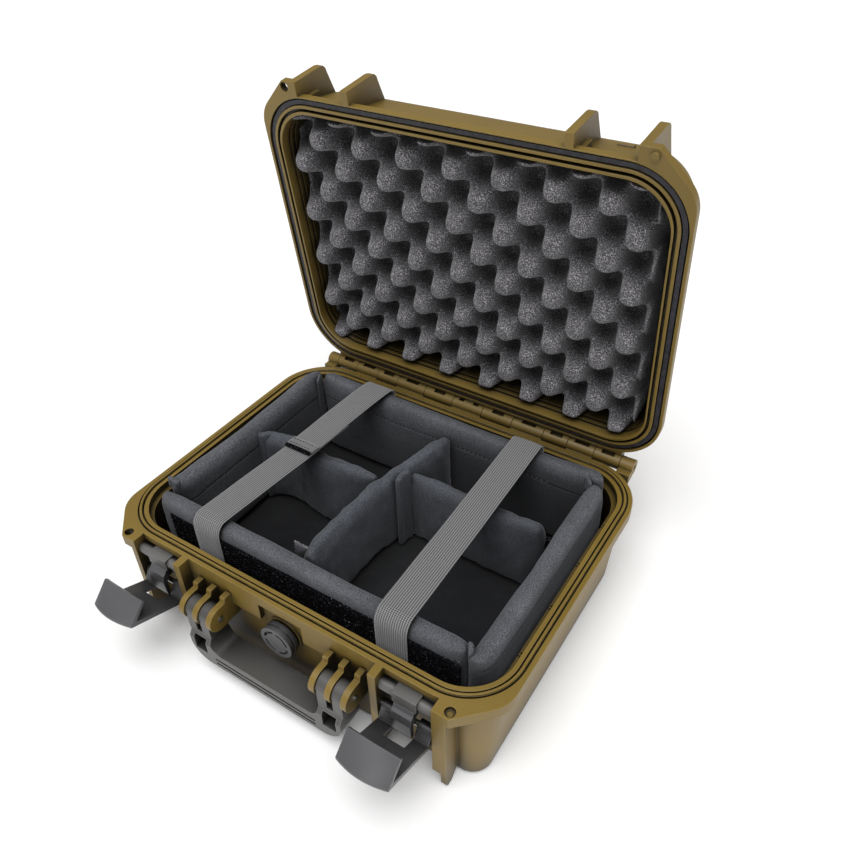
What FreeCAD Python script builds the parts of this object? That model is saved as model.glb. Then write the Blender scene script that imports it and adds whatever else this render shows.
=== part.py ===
"""Hard equipment case: moulded shell, hinged lid, two latches, handle, valve and a padded insert.

Millimetres. +Z is up, -Y is the front, the origin is on the underside in the middle of the base.
The lid is drawn shut and then turned open about the hinge, because it stands open at rest.
"""
import FreeCAD, Part
import math
import os

V = FreeCAD.Vector

# ---- driving dimensions -------------------------------------------------------------------
CASE_HALF_W = 168.0        # half the width over the rim flanges
RIM_FRONT_Y = -121.8       # front edge of the base rim
RIM_BACK_Y = 127.0         # back edge of the rim
RIM_Z = 84.0               # rim plane of the base
RIM_CORNER_R = 45.0        # plan radius of the rim's corners
FLANGE_H = 9.0             # height of the base rim flange
EAR_FRONT_Y = -131.3       # front face of the corner ears
EAR_TIP_X = 141.4          # where an ear's front face meets its chamfer
EAR_TURN_R = 26.0          # plan radius where the ear's chamfer runs into the side
BAY_OUT_X = 129.2          # outer wall of a latch bay
BAY_IN_X = 88.2            # inner wall of a latch bay
RIB_T = 5.8                # thickness of the ribs beside the bays
SHELL_T = 4.0              # moulded wall thickness
LID_GAP = 0.3              # clearance between the two rims when shut
LID_TOP_Z = 146.0          # top of the shut lid
LID_FLANGE_H = 5.7         # height of the lid rim flange
LID_FRONT_Y = -120.5       # front edge of the lid rim
FIN_TOP_Z = 121.0          # top of the lid's latch guard fins
GASKET_GROOVE = (2.2, 5.2) # inset and width of the gasket's groove
GROOVE_DEPTH = 4.2
LID_OPEN_DEG = 82.7        # how far the lid stands open against its stop

HINGE_Y, HINGE_Z = 135.0, 84.0
HINGE_R = 6.3              # knuckle radius
HINGE_PIN_R = 2.0
RUNNING = 0.05             # radial clearance of a pin in its bore
KNUCKLE_ENDS = (14.8, 43.9, 73.2, 95.2, 118.6, 140.8, 152.4)
KNUCKLE_GAP = 0.5          # side gap between neighbouring knuckles

LOCK_X, LOCK_Y = 139.6, -126.0
LOCK_R = 3.5               # padlock hole

LATCH_PIVOT_Y, LATCH_PIVOT_Z = -125.5, 49.8
LATCH_PIN_R = 2.0
LATCH_W = 38.6             # width of a lever
LATCH_T = 2.6              # thickness of its plate
CATCH_BAR_Y, CATCH_BAR_Z, CATCH_BAR_R = -125.0, 72.5, 4.2

HANDLE_Y, HANDLE_Z = -136.0, 57.0
HANDLE_PIN_R = 2.0
LUG_XS = (46.0, 59.0, 72.0)
LUG_T = 4.6
LUG_R = 10.0
HANDLE_HALF_W = 69.5
HANDLE_BOTTOM_Z = 13.5
GRIP_FRONT_Y, GRIP_BACK_Y = -147.5, -126.5

VALVE_X, VALVE_Z = 1.0, 53.5
VALVE_R = 13.6

INSERT_HALF_W = 146.5
INSERT_CORNER_R = 20.0
INSERT_FRONT_Y, INSERT_BACK_Y = -96.5, 106.5
INSERT_TOP_Z = 97.0
FLOOR_Z = 4.0              # underside of the padded floor
FLOOR_PAD_T = 10.0
WALL_PAD_T = 13.0
DIVIDER_T = 10.0
DIVIDER_TOP_Z = 88.0

STRAP_W = 25.5
STRAP_T = 1.2


# ---- helpers ------------------------------------------------------------------------------
def box(x0, x1, y0, y1, z0, z1):
    return Part.makeBox(x1 - x0, y1 - y0, z1 - z0, V(x0, y0, z0))


def rod_x(x0, x1, y, z, r):
    return Part.makeCylinder(r, x1 - x0, V(x0, y, z), V(1, 0, 0))


def rod_y(y0, y1, x, z, r):
    return Part.makeCylinder(r, y1 - y0, V(x, y0, z), V(0, 1, 0))


def rod_z(z0, z1, x, y, r):
    return Part.makeCylinder(r, z1 - z0, V(x, y, z0), V(0, 0, 1))


def union(shapes):
    result = shapes[0]
    if len(shapes) > 1:
        result = result.multiFuse(shapes[1:])
    return result.removeSplitter()


def round_rect(x0, x1, y0, y1, z, r, front_r=None):
    """A closed wire: rectangle with rounded corners at height z. front_r, if given, is for the -Y corners."""
    f = r if front_r is None else front_r
    k = r * (1.0 - math.sqrt(0.5))
    fk = f * (1.0 - math.sqrt(0.5))
    edges = []
    corners = (((x1 - f, y0), (x1 - fk, y0 + fk), (x1, y0 + f)),
               ((x1, y1 - r), (x1 - k, y1 - k), (x1 - r, y1)),
               ((x0 + r, y1), (x0 + k, y1 - k), (x0, y1 - r)),
               ((x0, y0 + f), (x0 + fk, y0 + fk), (x0 + f, y0)))
    for i, (a, m, b) in enumerate(corners):
        start, middle, end = (V(p[0], p[1], z) for p in (a, m, b))
        edges.append(Part.Arc(start, middle, end).toShape())
        following = corners[(i + 1) % 4][0]
        edges.append(Part.LineSegment(end, V(following[0], following[1], z)).toShape())
    return Part.Wire(Part.__sortEdges__(edges))


def slab(x0, x1, y0, y1, z0, z1, r):
    return Part.Face(round_rect(x0, x1, y0, y1, z0, r)).extrude(V(0, 0, z1 - z0))


def tapered(low, high):
    """A solid between two rounded rectangles, each (x half width, y0, y1, z, corner radius, front radius)."""
    wires = [round_rect(-section[0], *section) for section in (low, high)]
    return Part.makeLoft(wires, True, True)


def plate_x(points, x0, x1):
    """A polygon of (y, z) points, thickened from x0 to x1."""
    ring = [V(x0, y, z) for y, z in points]
    return Part.Face(Part.makePolygon(ring + ring[:1])).extrude(V(x1 - x0, 0, 0))


def plate_z(points, z0, z1):
    """A polygon of (x, y) points, thickened from z0 to z1."""
    ring = [V(x, y, z0) for x, y in points]
    return Part.Face(Part.makePolygon(ring + ring[:1])).extrude(V(0, 0, z1 - z0))


def ring_at(inset, width, z0, z1):
    """A rim ring, its outer side inset from the rim's edge."""
    def outline(d):
        w = CASE_HALF_W - d
        return slab(-w, w, RIM_FRONT_Y + d, RIM_BACK_Y - d, z0, z1, RIM_CORNER_R - d)
    return outline(inset).cut(outline(inset + width))


def span(side, a, b):
    """Two x values for a feature from a to b on the given side."""
    return (side * a, side * b) if side > 0 else (side * b, side * a)


def open_lid(shape):
    turned = shape.copy()
    turned.rotate(V(0, HINGE_Y, HINGE_Z), V(1, 0, 0), -LID_OPEN_DEG)
    return turned


# ---- shells -------------------------------------------------------------------------------
def flange(front_y, ear_y, z0, z1):
    """A rim flange: rounded at the back, with a chamfered ear at each front corner."""
    chamfer = CASE_HALF_W - EAR_TIP_X
    solids = [slab(-CASE_HALF_W, CASE_HALF_W, front_y, RIM_BACK_Y, z0, z1, RIM_CORNER_R)]
    for side in (-1.0, 1.0):
        ear = plate_z([(side * BAY_OUT_X, front_y + 40), (side * BAY_OUT_X, ear_y), (side * EAR_TIP_X, ear_y),
                       (side * CASE_HALF_W, ear_y + chamfer), (side * CASE_HALF_W, front_y + 60)], z0, z1)
        turn = [e for e in ear.Edges if e.BoundBox.ZLength > 1
                and abs(e.BoundBox.XMin - side * CASE_HALF_W) < 0.1 and abs(e.BoundBox.YMin - ear_y - chamfer) < 0.1]
        solids.append(ear.makeFillet(EAR_TURN_R, turn))
    return union(solids)


def knuckles(own_parity, web):
    """Every second knuckle of the hinge barrel, joined to its shell by the given web."""
    solids = []
    edges = (0.0,) + KNUCKLE_ENDS
    for i in range(len(edges) - 1):
        if i % 2 != own_parity:
            continue
        spans = [(-edges[1], edges[1])] if i == 0 else [(edges[i], edges[i + 1]), (-edges[i + 1], -edges[i])]
        for x0, x1 in spans:
            x0, x1 = x0 + KNUCKLE_GAP / 2, x1 - KNUCKLE_GAP / 2
            barrel = rod_x(x0, x1, HINGE_Y, HINGE_Z, HINGE_R)
            solids.append(barrel.fuse(plate_x(web, x0, x1)))
    return solids


def hinge_bore():
    return rod_x(-160, 160, HINGE_Y, HINGE_Z, HINGE_PIN_R + RUNNING)


def handle_lug(x):
    """One lug of the handle's hinge: a round eye, a web to the wall and a stepped hook on top."""
    x0, x1 = x - LUG_T / 2, x + LUG_T / 2
    eye = rod_x(x0, x1, HANDLE_Y, HANDLE_Z, LUG_R)
    web = plate_x([(-114, 48), (-134, 47.2), (-136, 67), (-129.5, 67), (-128.5, 71), (-122.5, 71),
                   (-121.5, 66), (-114, 66)], x0, x1)
    return eye.fuse(web)


def make_base_shell():
    body = tapered((156, -115.5, 115, 0, 30, 15), (162.5, -118.5, 121.5, RIM_Z - FLANGE_H + 1, 40, 20))
    bottom = [e for e in body.Edges if abs(e.BoundBox.ZMin) < 1e-6 and abs(e.BoundBox.ZMax) < 1e-6]
    body = body.makeFillet(5.0, bottom)
    solids = [body, flange(RIM_FRONT_Y, EAR_FRONT_Y, RIM_Z - FLANGE_H, RIM_Z)]
    rib = [(EAR_FRONT_Y, RIM_Z), (EAR_FRONT_Y, 16), (-127, 7), (-110, 7), (-110, RIM_Z)]
    foot = [(-130, 22), (-129.5, 2), (-128, 0), (-124, 0), (-110, 14), (-110, 22)]
    for side in (-1.0, 1.0):
        solids.append(plate_x(rib, *span(side, BAY_IN_X - RIB_T, BAY_IN_X)))
        outer = 4.8 if side < 0 else 9.8
        solids.append(plate_x(rib, *span(side, BAY_OUT_X, BAY_OUT_X + outer)))
        foot_x = BAY_OUT_X + outer - 4.5
        solids.append(plate_x(foot, *span(side, foot_x, foot_x + 4.5)))
        solids.append(plate_x(foot, *span(side, BAY_IN_X - RIB_T, BAY_IN_X - RIB_T + 4.0)))
        # front skirt panel between the rib and the valve
        solids.append(box(*span(side, 19.0 + side * VALVE_X, BAY_IN_X - RIB_T + 0.5),
                          RIM_FRONT_Y, -112, 59, RIM_Z))
        for x in LUG_XS:
            solids.append(handle_lug(side * x))
    # boss that the valve screws into
    solids.append(rod_y(-119.5, -112, VALVE_X, VALVE_Z, 14.5))
    web = [(RIM_BACK_Y - 4, RIM_Z - 0.3), (RIM_BACK_Y - 4, RIM_Z - FLANGE_H),
           (HINGE_Y - 1, HINGE_Z - HINGE_R), (HINGE_Y, HINGE_Z - 0.3)]
    solids += knuckles(0, web)
    shell = union(solids)

    cuts = [tapered((151.0, -107.0, 110.5, SHELL_T, 27), (153.5, -109.0, 112.5, RIM_Z - 6, 33)),
            slab(-157, 157, -110.8, 116, RIM_Z - 6, RIM_Z + 5, 35),
            ring_at(3.2, 1.3, RIM_Z - 2.6, RIM_Z + 1), ring_at(6.7, 1.3, RIM_Z - 2.6, RIM_Z + 1),
            hinge_bore(),
            rod_z(0, RIM_Z + 1, -LOCK_X, LOCK_Y, LOCK_R),
            rod_z(RIM_Z - 3.2, RIM_Z + 1, LOCK_X, LOCK_Y, LOCK_R + 0.2),
            rod_y(-125, -100, VALVE_X, VALVE_Z, 5.0)]
    for side in (-1.0, 1.0):
        # short slots with a round end in the ledge that runs inside the rim
        for y in (-66.0, -22.0, 22.0, 66.0):
            cuts.append(box(*span(side, 152.0, 156.4), y - 0.5, y + 0.5, RIM_Z - 8, RIM_Z - 5))
            cuts.append(rod_z(RIM_Z - 8, RIM_Z - 5, side * 155.2, y + 2.6, 1.1))
        cuts.append(rod_x(*span(side, LUG_XS[0] - 4, LUG_XS[2] + 4), HANDLE_Y, HANDLE_Z,
                          HANDLE_PIN_R + RUNNING))
        bay = span(side, BAY_IN_X - 3.0, BAY_OUT_X + 3.0)
        cuts.append(rod_x(*bay, LATCH_PIVOT_Y, LATCH_PIVOT_Z, LATCH_PIN_R + RUNNING))
        cuts.append(rod_x(*bay, CATCH_BAR_Y, CATCH_BAR_Z, CATCH_BAR_R + RUNNING))
        # the bay's back wall is set in, to give the catch bar and the lever's knuckles room
        cuts.append(box(*span(side, BAY_IN_X, BAY_OUT_X), -128, -117.5, 0, RIM_Z - 6))
    # openings in the upper side of the base's knuckles, so that water and grit fall clear
    for x in (-7.0, 7.0):
        cuts.append(box(x - 2.6, x + 2.6, HINGE_Y - 2.2, HINGE_Y + 2.2, HINGE_Z + 2, HINGE_Z + 8))
    for a, b in ((43.9, 73.2), (95.2, 118.6)):
        for side in (-1.0, 1.0):
            middle = side * (a + b) / 2
            cuts.append(box(middle - 6.5, middle + 6.5, HINGE_Y - 2.4, HINGE_Y + 2.4,
                            HINGE_Z + 3, HINGE_Z + 8))
    shell = shell.cut(cuts)
    ridge = ring_at(4.8, 1.6, RIM_Z - 1, RIM_Z + 1.0)
    island = rod_z(RIM_Z - 3.5, RIM_Z - 2.4, LOCK_X, LOCK_Y, 2.0)
    return union([shell, ridge, island])


def make_lid_shell():
    rim = RIM_Z + LID_GAP
    body = tapered((163.5, -116, 121.5, rim + 2, 42), (152.5, -104.8, 110.5, LID_TOP_Z, 34))
    top = [e for e in body.Edges if abs(e.BoundBox.ZMin - LID_TOP_Z) < 1e-6]
    body = body.makeFillet(27.0, top)
    solids = [body, flange(LID_FRONT_Y, EAR_FRONT_Y + 0.8, rim, rim + LID_FLANGE_H)]
    fin = [(-130.4, rim), (-130.6, FIN_TOP_Z - 6), (-129.8, FIN_TOP_Z - 2.4), (-127.5, FIN_TOP_Z - 0.2),
           (-124.0, FIN_TOP_Z + 0.8), (-106.0, FIN_TOP_Z + 7.0), (-103.0, FIN_TOP_Z + 7.0), (-100, rim)]
    for side in (-1.0, 1.0):
        solids.append(plate_x(fin, *span(side, BAY_IN_X - RIB_T, BAY_IN_X)))
        solids.append(plate_x(fin, *span(side, BAY_OUT_X, BAY_OUT_X + RIB_T)))
        # a bead across the space between the fins, and a gusset at the foot of each fin
        solids.append(rod_x(*span(side, 103, 114), -109.5, FIN_TOP_Z - 1, 1.8))
        for x in (BAY_IN_X, BAY_OUT_X - 3.0):
            solids.append(box(*span(side, x, x + 3.0), -117.2, -110, rim, rim + 22))
    web = [(RIM_BACK_Y - 4, rim), (HINGE_Y, HINGE_Z + 0.3), (HINGE_Y - 1, HINGE_Z + HINGE_R),
           (RIM_BACK_Y - 4, rim + LID_FLANGE_H + 2)]
    solids += knuckles(1, web)
    shell = union(solids)
    inside = tapered((154.8, -107.8, 113.1, rim - 1, 33), (149.0, -101.3, 107.0, LID_TOP_Z - 3.5, 30))
    deep = [e for e in inside.Edges if abs(e.BoundBox.ZMin - LID_TOP_Z + 3.5) < 1e-6]
    cuts = [inside.makeFillet(24.0, deep), ring_at(*GASKET_GROOVE, rim - 1, rim + GROOVE_DEPTH),
            ring_at(9.6, 2.4, rim - 1, rim + GROOVE_DEPTH), hinge_bore(),
            rod_z(rim - 1, rim + 12, -LOCK_X, LOCK_Y, LOCK_R)]
    for a, b in ((14.8, 43.9), (73.2, 95.2), (118.6, 140.8)):
        for side in (-1.0, 1.0):
            middle = side * (a + b) / 2
            cuts.append(box(middle - 5.5, middle + 5.5, HINGE_Y - 8, HINGE_Y - 3, HINGE_Z - 2.2, HINGE_Z + 2.2))
    # shallow steps round the inside of the wall, below the inner lip
    for inset, z in ((12.4, rim + 7.0), (12.8, rim + 12.0)):
        cuts.append(ring_at(inset, 3.0, z, z + 2.4))
    shell = shell.cut(cuts)
    boss = rod_z(rim - 2.0, rim + 1, LOCK_X, LOCK_Y, 2.6)
    return open_lid(union([shell, boss]))


def make_lid_gasket():
    """Rubber cord in the lid's groove, above the base's ridge."""
    return open_lid(ring_at(3.5, 3.2, RIM_Z + LID_GAP + 1.2, RIM_Z + LID_GAP + GROOVE_DEPTH))


def make_lid_foam():
    """The foam that fills the lid, from the rim plane to the inside of the top."""
    foam = slab(-148.4, 148.4, -101.0, 106.5, RIM_Z + 2.5, LID_TOP_Z - 3.6, 26)
    deep = [e for e in foam.Edges if abs(e.BoundBox.ZMin - LID_TOP_Z + 3.6) < 1e-6]
    return open_lid(foam.makeFillet(25.5, deep))


def make_hinge_pin(side):
    return rod_x(*span(side, 1.0, KNUCKLE_ENDS[-1] - 1.5), HINGE_Y, HINGE_Z, HINGE_PIN_R)


# ---- latches ------------------------------------------------------------------------------
def latch_profile(bulge):
    """(y, z) outline of a lever: knuckle leg, plate, folded edge and lip. bulge moves the fold out."""
    back = (-133.6, 41.6)
    slope = math.radians(22.7)
    run = 47.5 + bulge
    along = (-math.cos(slope), math.sin(slope))
    across = (math.sin(slope) * LATCH_T, math.cos(slope) * LATCH_T)
    fold = (back[0] + run * along[0], back[1] + run * along[1])
    edge = (-161.6, 73.9)
    lip = (edge[0] - fold[0], edge[1] - fold[1])
    length = math.hypot(*lip)
    lip_across = (lip[1] / length * LATCH_T, -lip[0] / length * LATCH_T)
    corner = (fold[0] + 5.0, fold[1] + LATCH_T * 0.75)
    return [back, fold, (fold[0] + 0.2, fold[1] + 1.6), edge,
            (edge[0] + lip_across[0], edge[1] + lip_across[1]), corner,
            (back[0] + across[0], back[1] + across[1])]


def make_latch_lever(side):
    x0, x1 = span(side, (BAY_IN_X + BAY_OUT_X - LATCH_W) / 2, (BAY_IN_X + BAY_OUT_X + LATCH_W) / 2)
    middle, half = (x0 + x1) / 2, LATCH_W / 2
    sections = []
    for t in (-1.0, -0.5, 0.0, 0.5, 1.0):
        ring = [V(middle + t * half, y, z) for y, z in latch_profile(4.0 * (1.0 - t * t) - 2.0)]
        sections.append(Part.makePolygon(ring + ring[:1]))
    plate = Part.makeLoft(sections, True, False)
    window = (middle - 8.3, middle + 8.3)
    leg = [(-134.4, 41.2), (-124.5, 45.2), (-122.6, 50.5), (-127.5, 53.5), (-132.6, 45.4)]
    legs = [plate_x(leg, x0, window[0]), plate_x(leg, window[1], x1)]
    eyes = [rod_x(x0, window[0], LATCH_PIVOT_Y, LATCH_PIVOT_Z, 4.2),
            rod_x(window[1], x1, LATCH_PIVOT_Y, LATCH_PIVOT_Z, 4.2)]
    lever = union([plate] + legs + eyes)
    slot = box(window[0], window[1], -143.5, -120, 38, 56)
    bore = rod_x(x0 - 1, x1 + 1, LATCH_PIVOT_Y, LATCH_PIVOT_Z, LATCH_PIN_R + RUNNING)
    return lever.cut([slot, bore])


def make_latch_pin(side):
    return rod_x(*span(side, BAY_IN_X - 2.8, BAY_OUT_X + 2.8), LATCH_PIVOT_Y, LATCH_PIVOT_Z, LATCH_PIN_R)


def make_catch_bar(side):
    """The axle bar across a bay, with the block that carries the clip."""
    middle = side * (BAY_IN_X + BAY_OUT_X) / 2
    bar = rod_x(*span(side, BAY_IN_X - 2.8, BAY_OUT_X + 2.8), CATCH_BAR_Y, CATCH_BAR_Z, CATCH_BAR_R)
    block = box(middle - 9, middle + 9, CATCH_BAR_Y - 5.2, CATCH_BAR_Y + 4.0, CATCH_BAR_Z - 4.4, CATCH_BAR_Z + 5.0)
    return bar.fuse(block).removeSplitter()


def make_catch_clip(side):
    """The stepped hook below the bar that a shut lever snaps over."""
    middle = side * (BAY_IN_X + BAY_OUT_X) / 2
    hook = [(-125.5, 68.1), (-130.2, 68.1), (-131.8, 65.6), (-134.0, 64.2), (-135.2, 58.0), (-134.6, 46.0),
            (-132.2, 46.0), (-132.0, 57.0), (-129.0, 61.5), (-125.5, 61.5)]
    return plate_x(hook, middle - 7.6, middle + 7.6)


# ---- handle and valve ---------------------------------------------------------------------
def make_handle():
    w, bottom = HANDLE_HALF_W, HANDLE_BOTTOM_Z
    depth = GRIP_BACK_Y - GRIP_FRONT_Y
    outline = Part.Face(xz_round(-w + 1.0, w - 1.0, bottom, HANDLE_Z, 17))
    hollow = Part.Face(xz_round(-49, 49, bottom + 15, HANDLE_Z + 30, 9))
    loop = outline.extrude(V(0, depth, 0)).cut(hollow.extrude(V(0, depth, 0)))
    loop.translate(V(0, GRIP_FRONT_Y, 0))
    # the arms narrow towards the lugs
    trim = [plate_x([(-150, 30), (-144.5, 40), (-144.5, 70), (-150, 70)], -80, 80),
            plate_x([(-125, 30), (-127.6, 40), (-127.6, 70), (-125, 70)], -80, 80),
            box(-80, 80, -160, -120, HANDLE_Z - 14.5, 80)]
    loop = loop.cut(trim)
    solids = [loop]
    gap = (LUG_XS[1] - LUG_XS[0] - LUG_T - 0.8) / 2
    for side in (-1.0, 1.0):
        for x in (LUG_XS[0] + LUG_XS[1], LUG_XS[1] + LUG_XS[2]):
            a, b = span(side, x / 2 - gap, x / 2 + gap)
            solids.append(rod_x(a, b, HANDLE_Y, HANDLE_Z, 8.6))
            solids.append(plate_x([(-144.4, 57), (-144.4, 40), (-128, 40), (-127.6, 57)], a, b))
    handle = union(solids)
    cuts = [rod_x(-80, 80, HANDLE_Y, HANDLE_Z, HANDLE_PIN_R + RUNNING)]
    for side in (-1.0, 1.0):
        # rectangular pocket in the front of each arm
        cuts.append(box(*span(side, 53.0, 64.5), GRIP_FRONT_Y - 1, GRIP_FRONT_Y + 12, 24, 38))
    # channels along the front and the underside of the grip
    for z in (bottom + 3.2, bottom + 7.6):
        cuts.append(box(-46, 46, GRIP_FRONT_Y - 1, GRIP_FRONT_Y + 1.4, z, z + 2.2))
    for i in range(4):
        y = GRIP_FRONT_Y + 3.8 + 4.3 * i
        cuts.append(box(-46, 46, y, y + 2.2, bottom - 1, bottom + 1.4))
    return handle.cut(cuts)


def xz_round(x0, x1, z0, z1, r):
    """A closed wire in the XZ plane with its two lower corners rounded."""
    k = r * (1.0 - math.sqrt(0.5))
    points = [V(x0, 0, z1), V(x0, 0, z0 + r), V(x0 + k, 0, z0 + k), V(x0 + r, 0, z0),
              V(x1 - r, 0, z0), V(x1 - k, 0, z0 + k), V(x1, 0, z0 + r), V(x1, 0, z1)]
    edges = [Part.LineSegment(points[0], points[1]), Part.Arc(points[1], points[2], points[3]),
             Part.LineSegment(points[3], points[4]), Part.Arc(points[4], points[5], points[6]),
             Part.LineSegment(points[6], points[7]), Part.LineSegment(points[7], points[0])]
    return Part.Wire([e.toShape() for e in edges])


def make_handle_pin(side):
    return rod_x(*span(side, LUG_XS[0] - 3.2, LUG_XS[2] + 3.2), HANDLE_Y, HANDLE_Z, HANDLE_PIN_R)


def make_valve_knob():
    """The round purge knob, with four arc slots in its face and a stem through the wall."""
    knob = rod_y(-129.0, -121.4, VALVE_X, VALVE_Z, VALVE_R)
    stem = rod_y(-121.5, -104.0, VALVE_X, VALVE_Z, 4.9)
    groove = rod_y(-130, -127.6, VALVE_X, VALVE_Z, 10.6).cut(rod_y(-130, -127.6, VALVE_X, VALVE_Z, 8.8))
    bridges = [box(VALVE_X - 1.6, VALVE_X + 1.6, -131, -127, VALVE_Z - 13, VALVE_Z + 13),
               box(VALVE_X - 13, VALVE_X + 13, -131, -127, VALVE_Z - 1.6, VALVE_Z + 1.6)]
    waist = rod_y(-125.6, -124.4, VALVE_X, VALVE_Z, VALVE_R + 1).cut(
        rod_y(-125.6, -124.4, VALVE_X, VALVE_Z, VALVE_R - 0.9))
    return union([knob, stem]).cut([groove.cut(bridges), waist])


def make_valve_seal():
    ring = rod_y(-121.3, -119.5, VALVE_X, VALVE_Z, 9.5)
    return ring.cut(rod_y(-122, -119, VALVE_X, VALVE_Z, 5.6))


def make_valve_nut():
    """The hexagonal nut inside the wall that keeps the stem."""
    ring = []
    for i in range(6):
        a = math.radians(60 * i)
        ring.append(V(VALVE_X + 8.5 * math.cos(a), -108.1, VALVE_Z + 8.5 * math.sin(a)))
    nut = Part.Face(Part.makePolygon(ring + ring[:1])).extrude(V(0, 3.5, 0))
    return nut.cut(rod_y(-110, -100, VALVE_X, VALVE_Z, 4.9 + RUNNING))


# ---- padded insert ------------------------------------------------------------------------
def soft(shape, r):
    """Rounds every edge of a plain pad."""
    return shape.makeFillet(r, shape.Edges)


WALL_X = INSERT_HALF_W - WALL_PAD_T
WALL_FRONT_Y = INSERT_FRONT_Y + WALL_PAD_T
WALL_BACK_Y = INSERT_BACK_Y - WALL_PAD_T
PAD_LOW_Z = FLOOR_Z + FLOOR_PAD_T
PAD_EDGE_R = 4.0


PAD_GAP = 0.4


def make_liner_wall(x0, x1, y0, y1):
    """One wall of the insert. Each wall turns one outer corner and butts against the next wall."""
    outline = slab(-INSERT_HALF_W, INSERT_HALF_W, INSERT_FRONT_Y, INSERT_BACK_Y,
                   PAD_LOW_Z, INSERT_TOP_Z, INSERT_CORNER_R)
    wall = outline.common(box(x0, x1, y0, y1, PAD_LOW_Z, INSERT_TOP_Z))
    top = [e for e in wall.Edges if e.BoundBox.ZMin > INSERT_TOP_Z - 1e-6]
    return wall.makeFillet(PAD_EDGE_R, top)


def make_floor_pad():
    w = INSERT_HALF_W - 0.5
    return soft(slab(-w, w, INSERT_FRONT_Y + 0.5, INSERT_BACK_Y - 0.5, FLOOR_Z, FLOOR_Z + FLOOR_PAD_T, 20), 2.0)


def make_loop_strip():
    """The looped-pile strip round the outside of the front wall."""
    return box(-INSERT_HALF_W + INSERT_CORNER_R, WALL_X - 4, INSERT_FRONT_Y - 1.4, INSERT_FRONT_Y,
               46, INSERT_TOP_Z - 11)


def bowed_pad(points, thickness, z0, z1):
    """A pad that stands along a smooth curve through the given (x, y) points."""
    def side_curve(offset):
        moved = []
        for i, (x, y) in enumerate(points):
            ax, ay = points[max(i - 1, 0)]
            bx, by = points[min(i + 1, len(points) - 1)]
            length = math.hypot(bx - ax, by - ay)
            moved.append(V(x - (by - ay) / length * offset, y + (bx - ax) / length * offset, z0))
        curve = Part.BSplineCurve()
        curve.interpolate(moved)
        return curve.toShape(), moved[0], moved[-1]
    left, left_a, left_b = side_curve(thickness / 2)
    right, right_a, right_b = side_curve(-thickness / 2)
    wire = Part.Wire(Part.__sortEdges__([left, Part.LineSegment(left_b, right_b).toShape(), right,
                                         Part.LineSegment(right_a, left_a).toShape()]))
    return Part.Face(wire).extrude(V(0, 0, z1 - z0))


DIVIDER_FRONT_Y = WALL_FRONT_Y + PAD_GAP
DIVIDER_BACK_Y = WALL_BACK_Y - PAD_GAP
MAIN_CURVE = [(-8.0, DIVIDER_FRONT_Y - 1.0), (-11.0, -50.0), (-11.0, -10.0), (-8.0, 25.0), (0.0, 62.0),
              (8.5, DIVIDER_BACK_Y + 2.0)]
LEFT_CURVE = [(-WALL_X - 1.6, 11.4), (-108.0, 20.0), (-62.0, 17.0), (-15.4, 22.0)]
RIGHT_CURVE = [(3.2, 37.0), (48.0, 38.0), (88.0, 38.0), (126.0, 40.0)]


def make_main_divider():
    pad = bowed_pad(MAIN_CURVE, DIVIDER_T, PAD_LOW_Z, DIVIDER_TOP_Z)
    return pad.common(box(-50, 50, DIVIDER_FRONT_Y, DIVIDER_BACK_Y, 0, DIVIDER_TOP_Z))


def make_cross_divider(curve):
    pad = bowed_pad(curve, DIVIDER_T - 1.0, PAD_LOW_Z, DIVIDER_TOP_Z - 2.0)
    return pad.common(box(PAD_GAP - WALL_X, WALL_X - PAD_GAP, -50, 80, 0, DIVIDER_TOP_Z))


def strap_run(points, x0, x1):
    """A flat strap of constant thickness along (y, z) points, from x0 to x1."""
    def offset_line(d):
        moved = []
        for i, (y, z) in enumerate(points):
            ay, az = points[max(i - 1, 0)]
            by, bz = points[min(i + 1, len(points) - 1)]
            length = math.hypot(by - ay, bz - az)
            moved.append((y - (bz - az) / length * d, z + (by - ay) / length * d))
        return moved
    return plate_x(offset_line(0.0) + offset_line(STRAP_T)[::-1], x0, x1)


def slanted(shape, y0, y1, shift):
    """The strap moved sideways in proportion to its way from y0 to y1."""
    matrix = FreeCAD.Matrix()
    slope = shift / (y1 - y0)
    matrix.A12 = slope
    matrix.A14 = -slope * y0
    return shape.transformGeometry(matrix)


STRAP_TOP_Z = INSERT_TOP_Z + 0.1
STRAP_BEND = PAD_EDGE_R * math.tan(math.radians(22.5))
FRONT_DROP = [(INSERT_FRONT_Y - 1.6, 66.0), (INSERT_FRONT_Y - 1.6, 87.0),
              (INSERT_FRONT_Y - 0.1, INSERT_TOP_Z - PAD_EDGE_R + STRAP_BEND),
              (INSERT_FRONT_Y + PAD_EDGE_R - STRAP_BEND, STRAP_TOP_Z)]
BACK_TUCK = [(INSERT_BACK_Y - PAD_EDGE_R + STRAP_BEND, STRAP_TOP_Z),
             (INSERT_BACK_Y + 0.1, INSERT_TOP_Z - PAD_EDGE_R + STRAP_BEND),
             (INSERT_BACK_Y + 0.1, 70.0)]


def make_strap_right():
    run = FRONT_DROP + BACK_TUCK
    strap = strap_run(run, 65.5, 65.5 + STRAP_W)
    return slanted(strap, INSERT_FRONT_Y, INSERT_BACK_Y, -6.0)


def make_strap_left_front():
    """The lower half of the left strap, from the front wall to under the upper half's end."""
    run = FRONT_DROP + [(48.0, STRAP_TOP_Z)]
    strap = strap_run(run, -98.0, -98.0 + STRAP_W)
    return slanted(strap, INSERT_FRONT_Y, INSERT_BACK_Y, 12.0)


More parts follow.
